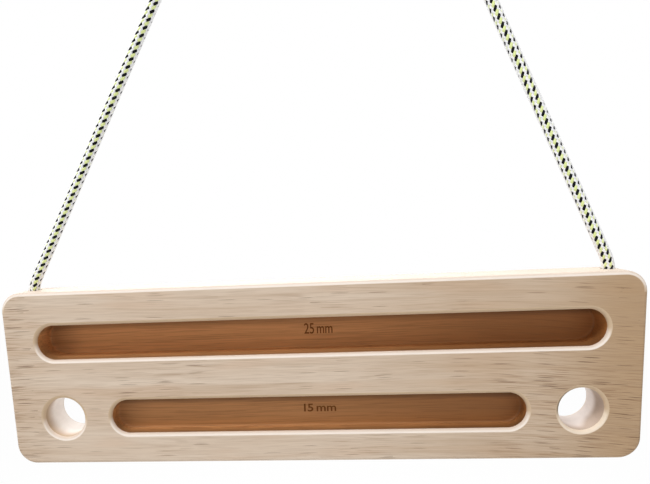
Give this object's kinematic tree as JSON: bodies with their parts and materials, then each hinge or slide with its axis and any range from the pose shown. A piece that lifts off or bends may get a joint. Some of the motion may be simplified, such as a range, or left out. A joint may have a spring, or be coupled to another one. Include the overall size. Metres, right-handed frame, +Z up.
{
  "type": "hangboard",
  "caption": "Portable wooden hangboard with two finger slots and round through grips, hung on a two-legged rope sling with a loop at its top.",
  "frame": {"origin": "hanging point: the inside of the top of the rope loop, where a hook carries it", "axes": "+X along the board, to the right as the gripping side is seen, +Y from the gripping side to the back, +Z up"},
  "size_m": [0.5, 0.046, 0.683],
  "materials": {
    "pale_wood": "sanded, lightly oiled, grain along the board",
    "rope_sheath": "braided sheath, white with black and yellow-green flecks"
  },
  "bodies": {
    "hanger": {"hanging_loop": "rope_sheath"},
    "knot": {"sling_knot": "rope_sheath"},
    "legs": {"rope_leg_left": "rope_sheath", "rope_leg_right": "rope_sheath"},
    "board": {"board": "pale_wood", "rope_run_left": "rope_sheath", "rope_run_right": "rope_sheath", "stopper_knot_left": "rope_sheath", "stopper_knot_right": "rope_sheath"}
  },
  "joints": [
    {"name": "sling_sway", "type": "hinge", "parent": "hanger", "child": "knot", "pos_m": [0, 0, -0.075], "axis": [0, 1, 0], "range_deg": [-30, 30]},
    {"name": "sling_swing", "type": "hinge", "parent": "knot", "child": "legs", "pos_m": [0, 0, -0.075], "axis": [1, 0, 0], "range_deg": [-60, 60]},
    {"name": "board_tilt", "type": "hinge", "parent": "legs", "child": "board", "pos_m": [-0.025, 0, -0.5245], "axis": [1, 0, 0], "range_deg": [-75, 75]}
  ]
}
